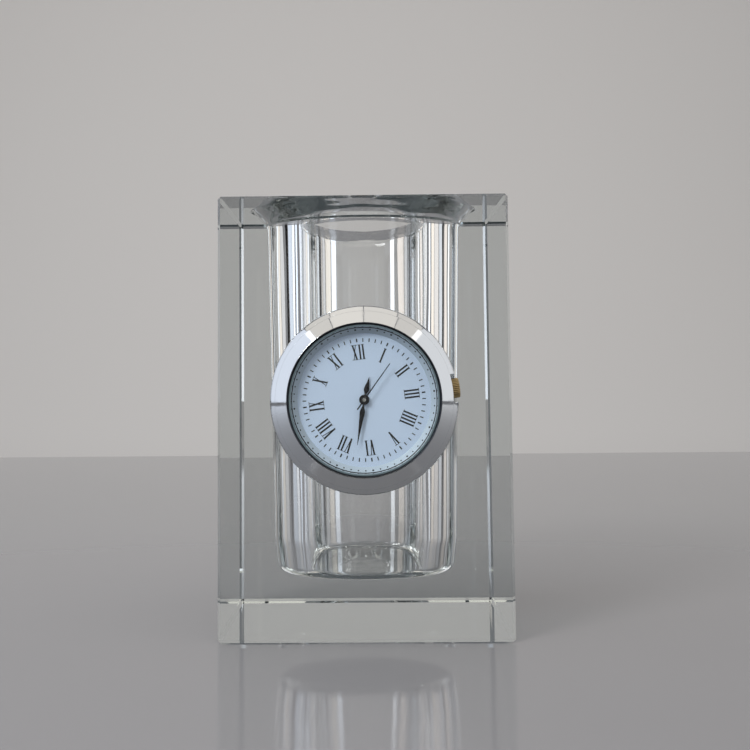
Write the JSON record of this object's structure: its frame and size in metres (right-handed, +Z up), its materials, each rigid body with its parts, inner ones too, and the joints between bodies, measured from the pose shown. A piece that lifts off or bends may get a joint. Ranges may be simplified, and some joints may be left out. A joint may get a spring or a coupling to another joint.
{
  "type": "pen holder clock",
  "caption": "Clear rectangular crystal block that holds a pen in a round well from the top, with a round analogue quartz clock set in its front face.",
  "frame": {"origin": "centre of the block's base, on the surface it stands on", "axes": "+Z up along the block, -Y out of the face with the clock, +X to the right seen from the front"},
  "size_m": [0.066, 0.0735, 0.1],
  "materials": {
    "crystal": "clear polished optical glass",
    "clear_lens": "flat polished mineral glass",
    "chrome_case": "mirror chrome plate",
    "steel": "plain bright steel",
    "iron_core": "soft magnetic iron sheet",
    "brass": "turned brass",
    "crown_brass": "fluted brass, lightly dulled",
    "grey_ring": "grey painted sloped ring",
    "white_dial": "matt white lacquer",
    "black_ink": "black pad print",
    "black_lacquer": "black lacquered hands",
    "black_rubber": "soft black rubber",
    "grey_gasket": "translucent grey nylon",
    "white_plastic": "moulded acetal",
    "green_board": "coated circuit board",
    "black_epoxy": "cast epoxy drop",
    "copper_wire": "enamelled copper winding",
    "rotor_magnet": "sintered magnet"
  },
  "bodies": {
    "block": {"crystal_block": "crystal"},
    "clock": {"mounting_gasket": "black_rubber", "case_body": "chrome_case", "case_back": "steel", "back_gasket": "black_rubber", "bezel": "chrome_case", "lens": "clear_lens", "lens_gasket": "grey_gasket", "chapter_ring": "grey_ring", "chapter_dots": "black_ink", "dial": "white_dial", "dial_numerals": "black_ink", "minute_track": "black_ink", "movement_holder": "white_plastic", "main_plate": "brass", "train_bridge": "steel", "bridge_screws": "steel", "battery": "steel", "battery_clamp": "steel", "circuit_board": "green_board", "quartz_can": "steel", "clock_chip": "black_epoxy", "coil": "copper_wire", "coil_core": "iron_core", "stator": "iron_core", "crown_tube": "brass"},
    "seconds": {"second_wheel": "brass", "second_hand": "black_lacquer"},
    "minutes": {"centre_wheel": "brass", "cannon_pinion": "brass", "minute_hand": "black_lacquer"},
    "hours": {"hour_wheel": "brass", "hour_hand": "black_lacquer"},
    "motor_rotor": {"rotor": "rotor_magnet"},
    "intermediate": {"intermediate_wheel": "brass"},
    "third": {"third_wheel": "brass"},
    "motion_work": {"minute_wheel": "brass"},
    "crown_slide": {"crown_gasket": "black_rubber"},
    "crown_knob": {"crown": "crown_brass", "setting_stem": "steel"}
  },
  "joints": [
    {"name": "clock_pull", "type": "slide", "parent": "block", "child": "clock", "axis": [0, -1, 0], "range_m": [0, 0.012]},
    {"name": "second_hand_turn", "type": "hinge", "parent": "clock", "child": "seconds", "pos_m": [0, -0.033, 0.0536], "axis": [0, 1, 0], "continuous": true},
    {"name": "minute_hand_turn", "type": "hinge", "parent": "clock", "child": "minutes", "pos_m": [0, -0.033, 0.0536], "axis": [0, 1, 0], "continuous": true},
    {"name": "hour_hand_turn", "type": "hinge", "parent": "clock", "child": "hours", "pos_m": [0, -0.033, 0.0536], "axis": [0, 1, 0], "continuous": true},
    {"name": "rotor_turn", "type": "hinge", "parent": "clock", "child": "motor_rotor", "pos_m": [0.00453, -0.033, 0.04953], "axis": [0, 1, 0], "continuous": true},
    {"name": "intermediate_turn", "type": "hinge", "parent": "clock", "child": "intermediate", "pos_m": [0.00156, -0.033, 0.0497], "axis": [0, 1, 0], "continuous": true},
    {"name": "third_turn", "type": "hinge", "parent": "clock", "child": "third", "pos_m": [-0.00244, -0.033, 0.05687], "axis": [0, 1, 0], "continuous": true},
    {"name": "minute_wheel_turn", "type": "hinge", "parent": "clock", "child": "motion_work", "pos_m": [0.00285, -0.033, 0.05266], "axis": [0, 1, 0], "continuous": true},
    {"name": "crown_pull", "type": "slide", "parent": "clock", "child": "crown_slide", "axis": [0.993, 0, 0.1184], "range_m": [0, 0.001]},
    {"name": "crown_turn", "type": "hinge", "parent": "crown_slide", "child": "crown_knob", "pos_m": [0, -0.03553, 0.0536], "axis": [0.993, 0, 0.1184], "continuous": true}
  ],
  "couplings": [
    {"joint": "minute_hand_turn", "follows": "second_hand_turn", "ratio": 0.016667},
    {"joint": "hour_hand_turn", "follows": "second_hand_turn", "ratio": 0.0013889},
    {"joint": "rotor_turn", "follows": "second_hand_turn", "ratio": 30},
    {"joint": "intermediate_turn", "follows": "second_hand_turn", "ratio": -3},
    {"joint": "third_turn", "follows": "second_hand_turn", "ratio": -0.13333},
    {"joint": "minute_wheel_turn", "follows": "second_hand_turn", "ratio": -0.0055556}
  ]
}
